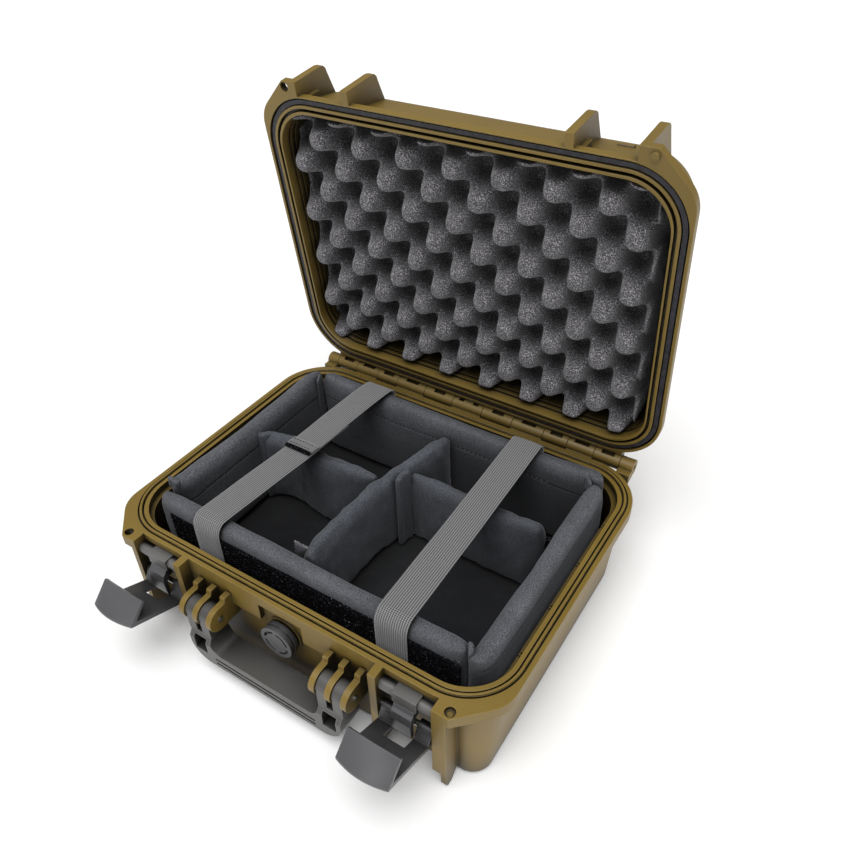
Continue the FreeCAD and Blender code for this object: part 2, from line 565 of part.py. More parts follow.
def make_strap_left_back():
    """The upper half of the left strap, from the back wall to its bound end."""
    lift = STRAP_T + 0.2
    raised = [(y, z + lift) for y, z in ((4.0, STRAP_TOP_Z), (52.0, STRAP_TOP_Z))]
    strap = strap_run(raised + [(62.0, STRAP_TOP_Z)] + BACK_TUCK, -98.0, -98.0 + STRAP_W)
    return slanted(strap, INSERT_FRONT_Y, INSERT_BACK_Y, 12.0)


# ---- all nodes ----------------------------------------------------------------------------
def make_nodes():
    nodes = {
        "base_shell": make_base_shell(),
        "lid_shell": make_lid_shell(),
        "lid_gasket": make_lid_gasket(),
        "lid_foam": make_lid_foam(),
        "carry_handle": make_handle(),
        "valve_knob": make_valve_knob(),
        "valve_seal": make_valve_seal(),
        "valve_nut": make_valve_nut(),
        "liner_front_wall": make_liner_wall(-INSERT_HALF_W, WALL_X - PAD_GAP, INSERT_FRONT_Y, WALL_FRONT_Y),
        "liner_right_wall": make_liner_wall(WALL_X, INSERT_HALF_W, INSERT_FRONT_Y, WALL_BACK_Y - PAD_GAP),
        "liner_back_wall": make_liner_wall(PAD_GAP - WALL_X, INSERT_HALF_W, WALL_BACK_Y, INSERT_BACK_Y),
        "liner_left_wall": make_liner_wall(-INSERT_HALF_W, -WALL_X, WALL_FRONT_Y + PAD_GAP, INSERT_BACK_Y),
        "liner_floor_pad": make_floor_pad(),
        "loop_strip": make_loop_strip(),
        "main_divider": make_main_divider(),
        "left_divider": make_cross_divider(LEFT_CURVE),
        "right_divider": make_cross_divider(RIGHT_CURVE),
        "strap_right": make_strap_right(),
        "strap_left_front": make_strap_left_front(),
        "strap_left_back": make_strap_left_back(),
    }
    for name, side in (("left", -1.0), ("right", 1.0)):
        nodes["hinge_pin_" + name] = make_hinge_pin(side)
        nodes["latch_lever_" + name] = make_latch_lever(side)
        nodes["latch_pin_" + name] = make_latch_pin(side)
        nodes["catch_bar_" + name] = make_catch_bar(side)
        nodes["catch_clip_" + name] = make_catch_clip(side)
        nodes["handle_pin_" + name] = make_handle_pin(side)
    return nodes


os.makedirs("parts", exist_ok=True)
for node_name, node_shape in make_nodes().items():
    if not node_shape.isValid():
        print("not valid:", node_name)
    if len(node_shape.Solids) != 1:
        print("solids:", node_name, len(node_shape.Solids))
    node_shape.exportStep(os.path.join("parts", node_name + ".step"))
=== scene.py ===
"""Looks of the hard equipment case: moulded shells, nylon latches, foam and a padded insert."""
import math
import bmesh
import bpy
from mathutils import Matrix, Vector, noise


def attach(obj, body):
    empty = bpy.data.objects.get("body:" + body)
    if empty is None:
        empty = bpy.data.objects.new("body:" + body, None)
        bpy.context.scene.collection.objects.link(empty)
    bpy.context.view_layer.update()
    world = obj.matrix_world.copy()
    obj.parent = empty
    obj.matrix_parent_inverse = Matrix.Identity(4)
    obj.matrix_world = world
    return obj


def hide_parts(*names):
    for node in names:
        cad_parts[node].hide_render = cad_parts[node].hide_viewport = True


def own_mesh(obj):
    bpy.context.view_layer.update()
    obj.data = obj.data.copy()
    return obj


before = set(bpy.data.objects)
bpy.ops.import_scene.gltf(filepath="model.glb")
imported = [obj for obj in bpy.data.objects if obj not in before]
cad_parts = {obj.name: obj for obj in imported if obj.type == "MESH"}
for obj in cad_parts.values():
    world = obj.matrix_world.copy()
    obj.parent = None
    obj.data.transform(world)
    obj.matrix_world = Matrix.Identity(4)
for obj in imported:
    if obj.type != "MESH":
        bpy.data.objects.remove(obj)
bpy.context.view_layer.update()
MM = 0.001

# ---- camera ---------------------------------------------------------------------------------
CAMERA_AZIMUTH, CAMERA_ELEVATION, CAMERA_ROLL = 33.87, 38.79, -1.70
CAMERA_DISTANCE = 0.53899
CAMERA_TARGET = Vector((0.04323, 0.0, 0.17497))
CAMERA_LENS, SENSOR_WIDTH = 33.853, 36.0


def direction(azimuth, elevation):
    """Unit vector from the case towards a place, with azimuth 0 at the front and 90 degrees at +x."""
    return Vector((math.sin(azimuth) * math.cos(elevation), -math.cos(azimuth) * math.cos(elevation),
                   math.sin(elevation)))


def add_camera():
    azimuth, elevation, roll = (math.radians(angle) for angle in
                                (CAMERA_AZIMUTH, CAMERA_ELEVATION, CAMERA_ROLL))
    back = direction(azimuth, elevation)
    right = Vector((math.cos(azimuth), math.sin(azimuth), 0.0))
    up = back.cross(right)
    right, up = (right * math.cos(roll) + up * math.sin(roll),
                 up * math.cos(roll) - right * math.sin(roll))
    data = bpy.data.cameras.new("camera")
    data.lens, data.sensor_width, data.clip_start = CAMERA_LENS, SENSOR_WIDTH, 0.01
    camera = bpy.data.objects.new("camera", data)
    bpy.context.scene.collection.objects.link(camera)
    camera.matrix_world = Matrix.Translation(CAMERA_TARGET + back * CAMERA_DISTANCE) @ Matrix(
        (right, up, back)).transposed().to_4x4()
    bpy.context.scene.camera = camera


# ---- shader nodes ---------------------------------------------------------------------------
def linear(code, alpha=1.0):
    """An sRGB hex colour as the linear values that a shader takes."""
    channels = [int(code[i:i + 2], 16) / 255.0 for i in (1, 3, 5)]
    return [c / 12.92 if c <= 0.04045 else ((c + 0.055) / 1.055) ** 2.4 for c in channels] + [alpha]


def node(tree, kind, settings=None, links=None, values=None):
    """Adds one node: its settings, the values of its sockets and the links into its sockets."""
    made = tree.nodes.new(kind)
    for key, value in (settings or {}).items():
        setattr(made, key, value)
    for socket, value in (values or {}).items():
        made.inputs[socket].default_value = value
    for socket, source in (links or {}).items():
        tree.links.new(source, made.inputs[socket])
    return made


def new_material(name, **shader_values):
    """A material with its node tree, its shader and the shader's plain values."""
    material = bpy.data.materials.new(name)
    material.use_nodes = True
    tree = material.node_tree
    shader = tree.nodes["Principled BSDF"]
    for socket, value in shader_values.items():
        shader.inputs[socket.replace("_", " ")].default_value = value
    return material, tree, shader


def object_place(tree, scale=(1.0, 1.0, 1.0), turn=(0.0, 0.0, 0.0)):
    coordinates = node(tree, "ShaderNodeTexCoord")
    return node(tree, "ShaderNodeMapping", values={"Scale": scale, "Rotation": turn},
                links={"Vector": coordinates.outputs["Object"]}).outputs["Vector"]


def clouds(tree, place, scale, detail, roughness=0.5):
    """Smooth random patches, scale of them to the metre."""
    return node(tree, "ShaderNodeTexNoise", links={"Vector": place},
                values={"Scale": scale, "Detail": detail, "Roughness": roughness}).outputs["Fac"]


def cells(tree, place, scale):
    """Distance from the middle of the nearest random cell."""
    return node(tree, "ShaderNodeTexVoronoi", {"feature": "F1"}, {"Vector": place},
                {"Scale": scale}).outputs["Distance"]


def spread(tree, source, low, high, to_low=0.0, to_high=1.0):
    """A value whose range low..high is stretched to to_low..to_high and held there beyond it."""
    return node(tree, "ShaderNodeMapRange", {"clamp": True}, {"Value": source},
                {"From Min": low, "From Max": high,
                 "To Min": to_low, "To Max": to_high}).outputs["Result"]


def ramp(tree, source, stops):
    made = node(tree, "ShaderNodeValToRGB", links={"Fac": source})
    elements = made.color_ramp.elements
    while len(elements) < len(stops):
        elements.new(0.5)
    for element, (place, colour) in zip(elements, stops):
        element.position = place
        element.color = linear(colour) if isinstance(colour, str) else [colour] * 3 + [1.0]
    return made.outputs["Color"]


def edge_mask(tree, radius, low, high):
    """The bevelled normal, and a mask that is bright where the surface turns within the radius."""
    bevel = node(tree, "ShaderNodeBevel", {"samples": 4}, values={"Radius": radius}).outputs["Normal"]
    flat = node(tree, "ShaderNodeNewGeometry")
    dot = node(tree, "ShaderNodeVectorMath", {"operation": "DOT_PRODUCT"},
               {0: bevel, 1: flat.outputs["Normal"]})
    return bevel, spread(tree, dot.outputs["Value"], high, low)


def sheltered(tree, reach, low, high):
    """0 in narrow recesses, where shade falls, and 1 on open surfaces: the mask for painted shade."""
    shade = node(tree, "ShaderNodeAmbientOcclusion", {"samples": 6}, values={"Distance": reach})
    return spread(tree, shade.outputs["AO"], low, high)


def darken(tree, openness, colour, painted_shade_colour):
    """The colour where the surface is open, and the painted shade colour where it is sheltered."""
    return node(tree, "ShaderNodeMix", {"data_type": "RGBA"}, {"Factor": openness, 7: colour},
                {6: linear(painted_shade_colour)}).outputs[2]


def add_bump(tree, shader, height, strength, depth, normal=None):
    """Relief too fine to model, drawn in the light only, on top of the given normal."""
    links = {"Height": height, "Normal": normal} if normal else {"Height": height}
    bump = node(tree, "ShaderNodeBump", links=links, values={"Strength": strength, "Distance": depth})
    tree.links.new(bump.outputs["Normal"], shader.inputs["Normal"])


# ---- materials ------------------------------------------------------------------------------
LIGHTENED_EDGE = 0.0009      # how far from a corner an edge is painted lighter, as rubbing and as a painted highlight, in metres

# name, colour, its darker tone, worn and highlit edge, painted shade colour for recesses, roughness,
# grain pitch and depth (m), wear
PLASTICS = {
    # polypropylene copolymer from a spark-eroded mould: satin, leathery, olive tan right through
    "shell": ("moulded_polypropylene", "#80692c", "#755f25", "#c4ad68", "#1f1809",
              0.44, 0.0011, 0.00012, 0.55),
    # glass-filled nylon, moulded and handled: dark grey, slight sheen, pale at the edges where it rubs
    # and where a highlight is painted
    "nylon": ("glass_filled_nylon", "#59595b", "#4e4e50", "#a3a19d", "#0e0e0f",
              0.36, 0.0016, 0.00006, 0.35),
    "bar": ("light_glass_filled_nylon", "#6b6a68", "#5f5e5c", "#b0ada7", "#151515",
            0.38, 0.0016, 0.00006, 0.4),
    "handle": ("handle_nylon", "#52514f", "#474644", "#b1aca3", "#0f0f0e",
               0.40, 0.0014, 0.00008, 0.75),
}

# name, dark and light thread, nap, how open a surface has to be to show its full colour rather than
# painted shade
FABRICS = {
    "fabric": ("brushed_nylon_lining", "#1b1c1f", "#6f7177", 0.36, 0.96),
    "divider": ("napped_divider_fabric", "#181a1e", "#666a72", 0.42, 0.96),
    # the floor fabric is darker than the lining partly as painted shade at the bottoms of the
    # compartments
    "floor": ("dark_floor_fabric", "#0a0a0c", "#24262b", 0.10, 0.96),
    "hook_tape": ("hook_tape", "#3c3c42", "#a4a4aa", 0.2, 0.35),
}


def moulded_plastic(name, colour, shade, worn_and_highlit, painted_shade, roughness, grain, grain_depth, wear):
    """Moulded plastic: even colour, fine eroded grain, edges painted lighter as rubbing and as a
    highlight, painted shade in the recesses.
    """
    material, tree, shader = new_material(name, IOR=1.49)
    place = object_place(tree)
    patches = clouds(tree, place, 14.0, 3.0, 0.55)
    base = ramp(tree, patches, [(0.3, shade), (0.7, colour)])
    # lighter edges: partly rubbed wear, partly a painted highlight along the edges
    bevel, edges = edge_mask(tree, LIGHTENED_EDGE, 0.80, 0.995)
    scuffs = spread(tree, clouds(tree, place, 120.0, 4.0, 0.7), 0.30, 0.62, 0.25)
    amount = node(tree, "ShaderNodeMath", {"operation": "MULTIPLY"}, {0: edges, 1: scuffs})
    amount = node(tree, "ShaderNodeMath", {"operation": "MULTIPLY"}, {0: amount.outputs[0]}, {1: wear})
    rubbed_and_highlit = node(tree, "ShaderNodeMix", {"data_type": "RGBA"},
                  {"Factor": amount.outputs[0], 6: base}, {7: linear(worn_and_highlit)})
    # painted shade: sheltered places darken towards the painted shade colour
    with_painted_shade = darken(tree, sheltered(tree, 0.040, 0.30, 0.84), rubbed_and_highlit.outputs[2], painted_shade)
    tree.links.new(with_painted_shade, shader.inputs["Base Color"])
    tree.links.new(spread(tree, patches, 0.3, 0.7, roughness - 0.05, roughness + 0.06),
                   shader.inputs["Roughness"])
    add_bump(tree, shader, clouds(tree, place, 1.0 / grain, 2.0, 0.6), 0.5, grain_depth, bevel)
    return material


def brushed_fabric(name, low, high, nap, open_at):
    """Knitted nylon with a brushed face: faint diagonal ribs about 0.7 mm apart, fuzz, and a soft
    pale nap at grazing angles. The ribs are a little coarser than real ones, so that they show."""
    material, tree, shader = new_material(name, Roughness=0.78, IOR=1.42, Sheen_Weight=nap,
                                          Sheen_Roughness=0.5, Sheen_Tint=linear("#a2a4aa"))
    place = object_place(tree)
    ribs = node(tree, "ShaderNodeTexWave", {"bands_direction": "DIAGONAL"}, {"Vector": place},
                {"Scale": 540.0, "Distortion": 5.0, "Detail": 3.0, "Detail Scale": 2.0})
    fuzz = clouds(tree, place, 1000.0, 4.0, 0.8)
    threads = node(tree, "ShaderNodeMix", {"data_type": "FLOAT"},
                   {2: ribs.outputs["Fac"], 3: fuzz}, {"Factor": 0.72}).outputs[0]
    patches = ramp(tree, clouds(tree, place, 34.0, 5.0, 0.6), [(0.3, 0.78), (0.72, 1.15)])
    mixed = node(tree, "ShaderNodeMix", {"data_type": "RGBA", "blend_type": "MULTIPLY"},
                 {6: ramp(tree, threads, [(0.36, low), (0.64, high)]), 7: patches}, {"Factor": 1.0})
    # painted shade: sheltered places and deep compartments darken towards near black
    openness = sheltered(tree, 0.070, 0.3 * open_at, open_at)
    tree.links.new(darken(tree, openness, mixed.outputs[2], "#08090a"), shader.inputs["Base Color"])
    add_bump(tree, shader, threads, 0.6, 0.0004)
    return material


def nitrile_rubber():
    """Extruded nitrile rubber: nearly black, soft sheen, a few dust marks."""
    material, tree, shader = new_material("nitrile_rubber_seal", Roughness=0.55, IOR=1.52)
    dust = clouds(tree, object_place(tree), 260.0, 4.0)
    tree.links.new(ramp(tree, dust, [(0.35, "#1a191d"), (0.75, "#38353d")]), shader.inputs["Base Color"])
    add_bump(tree, shader, dust, 0.3, 0.0001)
    return material


def drawn_steel():
    """Drawn stainless wire: fine lines along its length."""
    material, tree, shader = new_material("drawn_stainless_steel", Metallic=1.0, Roughness=0.30)
    lines = clouds(tree, object_place(tree, (60.0, 3500.0, 3500.0)), 1.0, 3.0)
    tree.links.new(ramp(tree, lines, [(0.3, "#9c9c9a"), (0.7, "#c9c9c6")]), shader.inputs["Base Color"])
    return material


def polyurethane_foam():
    """Open-cell polyurethane foam: charcoal, full of small cells, with pale specks painted as the glints
    of their walls and painted shade in its hollows.
    """
    material, tree, shader = new_material("open_cell_polyurethane_foam", Roughness=0.93, IOR=1.35,
                                          Sheen_Weight=0.25, Sheen_Roughness=0.6)
    place = object_place(tree)
    specks = clouds(tree, place, 1100.0, 2.0, 0.7)
    tone = ramp(tree, clouds(tree, place, 60.0, 3.0), [(0.3, "#4b494e"), (0.7, "#5b595d")])
    # painted glints: pale specks stand in for light catching the cell walls
    painted_glints = ramp(tree, specks, [(0.38, "#1a181b"), (0.52, "#5a585c"), (0.63, "#d0ced2")])
    mixed = node(tree, "ShaderNodeMix", {"data_type": "RGBA"}, {6: tone, 7: painted_glints}, {"Factor": 0.62})
    # painted shade: the hollows between the peaks darken towards near black
    deep = darken(tree, sheltered(tree, 0.030, 0.22, 0.62), mixed.outputs[2], "#0d0c0e")
    tree.links.new(deep, shader.inputs["Base Color"])
    height = node(tree, "ShaderNodeMath", {"operation": "ADD"}, {0: cells(tree, place, 850.0), 1: specks})
    add_bump(tree, shader, height.outputs[0], 0.8, 0.0005)
    return material


def looped_pile():
    """Looped polyester pile that hooks grip: black tangle with pale loop tips."""
    material, tree, shader = new_material("looped_polyester_pile", Roughness=1.0, IOR=1.15)
    place = object_place(tree)
    tips = clouds(tree, place, 900.0, 3.0)
    tree.links.new(ramp(tree, tips, [(0.50, "#08080a"), (0.64, "#151418"), (0.80, "#8a8a92")]),
                   shader.inputs["Base Color"])
    add_bump(tree, shader, cells(tree, place, 620.0), 1.0, 0.001)
    return material


def elastic_webbing():
    """Woven elastic: raised ribs 1.7 mm apart along the strap, crossed by picks 0.9 mm apart, grey."""
    material, tree, shader = new_material("woven_elastic_webbing", Roughness=0.82, Sheen_Weight=0.35,
                                          Sheen_Roughness=0.5)
    run = node(tree, "ShaderNodeSeparateXYZ",
               links={"Vector": node(tree, "ShaderNodeUVMap", {"uv_map": "along_strap"}).outputs["UV"]})
    waves = []
    for socket, pitch in (("X", 0.0017), ("Y", 0.0009)):
        turned = node(tree, "ShaderNodeMath", {"operation": "MULTIPLY"}, {0: run.outputs[socket]},
                      {1: 2.0 * math.pi / pitch})
        waves.append(node(tree, "ShaderNodeMath", {"operation": "SINE"},
                          {0: turned.outputs[0]}).outputs[0])
    crossed = node(tree, "ShaderNodeMath", {"operation": "MULTIPLY_ADD"},
                   {0: waves[1], 2: waves[0]}, {1: 0.7})
    height = node(tree, "ShaderNodeMath", {"operation": "MULTIPLY_ADD"},
                  {0: clouds(tree, object_place(tree), 1500.0, 2.0), 2: crossed.outputs[0]}, {1: 1.2})
    scaled = spread(tree, height.outputs[0], -1.2, 2.4)
    tree.links.new(ramp(tree, scaled, [(0.1, "#2c2c2e"), (0.5, "#626263"), (0.9, "#969696")]),
                   shader.inputs["Base Color"])
    add_bump(tree, shader, scaled, 0.6, 0.0003)
    return material


def sewing_thread():
    """Spun polyester sewing thread, with a light twist."""
    material, tree, shader = new_material("polyester_thread", Roughness=0.6, Sheen_Weight=0.3)
    twist = node(tree, "ShaderNodeTexWave", values={"Scale": 900.0, "Distortion": 1.0},
                 links={"Vector": object_place(tree, turn=(0.0, 0.6, 0.6))})
    tree.links.new(ramp(tree, twist.outputs["Fac"], [(0.2, "#6a6c72"), (0.8, "#96989e")]),
                   shader.inputs["Base Color"])
    return material


def add_materials():
    made = {look: moulded_plastic(*values) for look, values in PLASTICS.items()}
    made.update({look: brushed_fabric(*values) for look, values in FABRICS.items()})
    made.update(rubber=nitrile_rubber(), steel=drawn_steel(), foam=polyurethane_foam(),
                pile=looped_pile(), webbing=elastic_webbing(), thread=sewing_thread())
    return made


def wear(piece, material):
    piece.data.materials.clear()
    piece.data.materials.append(material)


# ---- mesh helpers ---------------------------------------------------------------------------
def new_piece(name, mesh_builder):
    """An object at the origin whose mesh mesh_builder(bm) fills, with its faces pointing outwards."""
    mesh = bpy.data.meshes.new(name)
    bm = bmesh.new()
    mesh_builder(bm)
    bmesh.ops.remove_doubles(bm, verts=bm.verts, dist=1e-6)
    bmesh.ops.recalc_face_normals(bm, faces=bm.faces)
    bm.to_mesh(mesh)
    bm.free()
    piece = bpy.data.objects.new(name, mesh)
    bpy.context.scene.collection.objects.link(piece)
    return piece


def skin(bm, rings):
    """A band of faces between each ring of points and the next."""
    for a, b in zip(rings, rings[1:]):
        for i in range(len(a)):
            j = (i + 1) % len(a)
            bm.faces.new((a[i], a[j], b[j], b[i]))


def loft(bm, rings):
    """A closed solid through the rings, with a flat cap at each end."""
    skin(bm, rings)
    bm.faces.new(rings[0][::-1])
    bm.faces.new(rings[-1])


def grid_faces(bm, points, across, up):
    """The square faces of a grid of points kept row by row."""
    row = across + 1
    for j in range(up):
        for i in range(across):
            a = j * row + i
            bm.faces.new((points[a], points[a + 1], points[a + row + 1], points[a + row]))


def grid_rim(across, up):
    """The (i, j) places round the edge of a grid, in order."""
    return ([(i, 0) for i in range(across + 1)] + [(across, j) for j in range(1, up + 1)]
            + [(i, up) for i in range(across - 1, -1, -1)] + [(0, j) for j in range(up - 1, 0, -1)])


def only(piece):
    bpy.ops.object.select_all(action="DESELECT")
    piece.select_set(True)
    bpy.context.view_layer.objects.active = piece


def apply_all(piece):
    only(piece)
    for modifier in list(piece.modifiers):
        bpy.ops.object.modifier_apply(modifier=modifier.name)


def smooth(piece):
    piece.data.polygons.foreach_set("use_smooth", [True] * len(piece.data.polygons))


def walk(path, step):
    """Samples every step along a smooth curve through 2-D points: the place, the unit direction to
    its side, the distance walked and the whole length."""
    points = [Vector(p) for p in path]
    lengths = [0.0]
    for a, b in zip(points, points[1:]):
        lengths.append(lengths[-1] + (b - a).length)
    count = max(4, int(lengths[-1] / step))
    samples = []
    for i in range(count + 1):
        d = lengths[-1] * i / count
        k = next(j for j in range(1, len(points)) if d <= lengths[j] + 1e-9)
        t = (d - lengths[k - 1]) / (lengths[k] - lengths[k - 1])
        before = points[max(k - 2, 0)]
        after = points[min(k + 1, len(points) - 1)]
        a, b = points[k - 1], points[k]
        m0 = (b - before) * 0.5 if k > 1 else (b - a)
        m1 = (after - a) * 0.5 if k < len(points) - 1 else (b - a)
        t2, t3 = t * t, t * t * t
        place = ((2 * t3 - 3 * t2 + 1) * a + (t3 - 2 * t2 + t) * m0
                 + (3 * t2 - 2 * t3) * b + (t3 - t2) * m1)
        slope = ((6 * t2 - 6 * t) * a + (3 * t2 - 4 * t + 1) * m0
                 + (6 * t - 6 * t2) * b + (3 * t2 - 2 * t) * m1)
        slope.normalize()
        samples.append((place, Vector((-slope.y, slope.x)), d, lengths[-1]))
    return samples


# ---- padded panels --------------------------------------------------------------------------
END_WIDTH = 0.12        # width of a pad at its very ends, as a share of its full width
END_FALL = 0.8          # how far its top falls there, as a share of its edge radius
FOOT_WIDTH = 0.6        # width of its underside, as a share of its full width
FOOT_RISE = 1.5         # height in mm over which the foot widens
TOP_SEGMENTS = 6        # facets over the rounded top
PAD_VOXEL, PAD_PRESSURE, PAD_FRAMES = 4.5 * MM, 3.0, 20
FABRIC_STIFFNESS, FABRIC_BENDING = 15.0, 0.6


def pad_body(name, path, thickness, z0, z1, top_r, end_r, top_shape=None, step=4.0):
    """A closed pad standing along a path: crowned top, sides that draw in at both ends."""
    def build(bm):
        half = thickness / 2
        rows = []
        for place, side, d, total in walk(path, step):
            near_end = min(d, total - d)
            pull = 1.0
            if near_end < end_r:
                pull = math.sqrt(max(0.0, 1.0 - (1.0 - near_end / end_r) ** 2))
            pull = max(pull, END_WIDTH)
            crown = z1 + (top_shape(d / total) if top_shape else 0.0)
            crown -= (1.0 - pull) * top_r * END_FALL
            shoulder, waist = crown - top_r, (z0 + crown) / 2
            section = [(-half * pull, z0 + FOOT_RISE), (-half * pull, waist), (-half * pull, shoulder)]
            for k in range(1, TOP_SEGMENTS):
                a = math.pi * k / TOP_SEGMENTS
                section.append((-half * pull * math.cos(a), crown - top_r + top_r * math.sin(a)))
            section += [(half * pull, shoulder), (half * pull, waist), (half * pull, z0 + FOOT_RISE),
                        (half * pull * FOOT_WIDTH, z0), (-half * pull * FOOT_WIDTH, z0)]
            rows.append([bm.verts.new(Vector((place.x + side.x * s, place.y + side.y * s, z)) * MM)
                         for s, z in section])
        loft(bm, rows)
    return new_piece(name, build)


def puff(piece, cap):
    """Cloth simulation: the pad is remeshed, blown up a little like stuffed fabric, and kept.
    No point moves further than cap."""
    remesh = piece.modifiers.new("remesh", "REMESH")
    remesh.mode, remesh.voxel_size = "VOXEL", PAD_VOXEL
    apply_all(piece)
    start = [v.co.copy() for v in piece.data.vertices]
    cloth = piece.modifiers.new("cloth", "CLOTH")
    cloth.settings.use_pressure = True
    cloth.settings.uniform_pressure_force = PAD_PRESSURE
    cloth.settings.effector_weights.gravity = 0.0
    cloth.settings.quality = 5
    cloth.settings.tension_stiffness = cloth.settings.compression_stiffness = FABRIC_STIFFNESS
    cloth.settings.bending_stiffness = FABRIC_BENDING
    scene = bpy.context.scene
    scene.frame_start, scene.frame_end = 1, PAD_FRAMES
    cloth.point_cache.frame_start, cloth.point_cache.frame_end = 1, PAD_FRAMES
    for frame_number in range(1, PAD_FRAMES + 1):
        scene.frame_set(frame_number)
    evaluated = piece.evaluated_get(bpy.context.evaluated_depsgraph_get())
    blown = [v.co.copy() for v in evaluated.data.vertices]
    piece.modifiers.clear()
    for vertex, a, b in zip(piece.data.vertices, start, blown):
        move = b - a
        if move.length > cap:
            move *= cap / move.length
        vertex.co = a + move
    scene.frame_set(1)


def subdivide_once(piece):
    modifier = piece.modifiers.new("subdivide", "SUBSURF")
    modifier.levels = modifier.render_levels = 1
    apply_all(piece)


def crease(piece, amount, stretch, seed, where=None):
    """Soft wrinkles: each point moves along its normal by smooth noise, with a finer noise half as
    strong added, and by more where the where function says."""
    finer = 2.3
    normals = [v.normal.copy() for v in piece.data.vertices]
    for vertex, normal in zip(piece.data.vertices, normals):
        p = vertex.co
        x, y, z = (p[axis] * stretch[axis] for axis in range(3))
        value = noise.noise(Vector((x, y, z + seed)))
        value += 0.5 * noise.noise(Vector((x * finer + 7, y * finer, z * finer + seed)))
        vertex.co = p + normal * (value * amount * (where(p) if where else 1.0))


def sew(piece, side, level, depth=0.0009, width=0.0011):
    """A sewn line pulled into one side of a pad, at the height level. side is the way it faces."""
    bm = bmesh.new()
    bm.from_mesh(piece.data)
    for z in (level - width, level, level + width):
        bmesh.ops.bisect_plane(bm, geom=bm.verts[:] + bm.edges[:] + bm.faces[:], dist=1e-7,
                               plane_co=(0, 0, z), plane_no=(0, 0, 1))
    bm.normal_update()
    for vertex in bm.verts:
        if abs(vertex.co.z - level) < width * 0.3 and vertex.normal.dot(side) > 0.6:
            vertex.co -= vertex.normal * depth
    bm.to_mesh(piece.data)
    bm.free()


# rings of one stitch: place along it, share of the thread's radius, and lift in radii
STITCH_RINGS = ((-0.5, 0.35, -0.6), (-0.25, 1.0, 0.1), (0.25, 1.0, 0.1), (0.5, 0.35, -0.6))
THREAD_SIDES = (0.0, 1.2566, 2.5133, 3.7699, 5.0265)
PAD_SEARCH = 0.006      # a stitch looks this far either side of its line for the pad's surface


def stitches(name, runs, pitch=0.0042, length=0.0030, radius=0.00035):
    """Short lengths of thread along straight runs (start, end, outward, pad), laid on each pad."""
    def build(bm):
        for start, end, outward, pad in runs:
            start, end, outward = Vector(start), Vector(end), Vector(outward).normalized()
            along = (end - start).normalized()
            across = along.cross(outward)
            for i in range(int((end - start).length / pitch)):
                middle = start + along * (pitch * (i + 0.5))
                if pad:
                    hit, place = pad.ray_cast(middle + outward * PAD_SEARCH, -outward,
                                              distance=2 * PAD_SEARCH)[:2]
                    if not hit:
                        continue
                    middle = place
                rings = []
                for t, share, lift in STITCH_RINGS:
                    centre = middle + along * (t * length) + outward * (lift * radius)
                    rings.append([bm.verts.new(centre + (across * math.cos(a) + outward * math.sin(a))
                                               * radius * share) for a in THREAD_SIDES])
                loft(bm, rings)
    piece = new_piece(name, build)
    smooth(piece)
    return piece


# ---- insert (in mm) -------------------------------------------------------------------------
WALL_T, WALL_TOP, PAD_LOW = 14.4, 97.2, 14.3
WALL_EDGE_R, WALL_END_R, WALL_WAVE = 7.0, 3.5, 0.7
DIVIDER_T, DIVIDER_TOP = 11.6, 88.0
DIVIDER_EDGE_R, DIVIDER_END_R = 5.2, 3.0
OUTER_SEAM, INNER_SEAM = 12.0, 21.0         # below the top of a wall
OUT_X, FRONT_Y, BACK_Y = 139.0, -89.0, 99.0
BROAD_WRINKLES, TIGHT_WRINKLES = (26.0, 26.0, 30.0), (75.0, 75.0, 34.0)     # waves to the metre
WRINKLED_END = 0.035                        # metres from a wall's end that wrinkle most

# path, direction of the outer face, seed of the wrinkles
WALLS = {
    "liner_front_wall": ([(-144.0, -84.5), (-138.0, -87.8), (-128.0, FRONT_Y), (0.0, FRONT_Y),
                          (133.0, FRONT_Y)], (0, -1, 0), 11.0),
    "liner_right_wall": ([(OUT_X - 0.6, -96.2), (OUT_X, -86.0), (OUT_X, 0.0), (OUT_X, 94.0)],
                         (1, 0, 0), 3.0),
    "liner_back_wall": ([(-133.0, BACK_Y), (0.0, BACK_Y), (124.0, BACK_Y), (134.5, 97.8), (141.5, 93.0)],
                        (0, 1, 0), 5.0),
    "liner_left_wall": ([(-OUT_X, -82.0), (-OUT_X, 0.0), (-OUT_X, 82.0), (-138.0, 93.0), (-134.5, 101.0)],
                        (-1, 0, 0), 7.0),
}
MAIN_PATH = [(-7.6, -80.5), (-11.5, -60.0), (-12.0, -30.0), (-11.0, 0.0), (-7.0, 28.0), (0.0, 60.0),
             (8.0, 91.0)]
LEFT_PATH = [(-133.0, 12.0), (-108.0, 20.0), (-62.0, 17.0), (-16.0, 21.5)]
RIGHT_PATH = [(1.0, 38.0), (48.0, 38.4), (88.0, 38.0), (123.5, 40.0)]

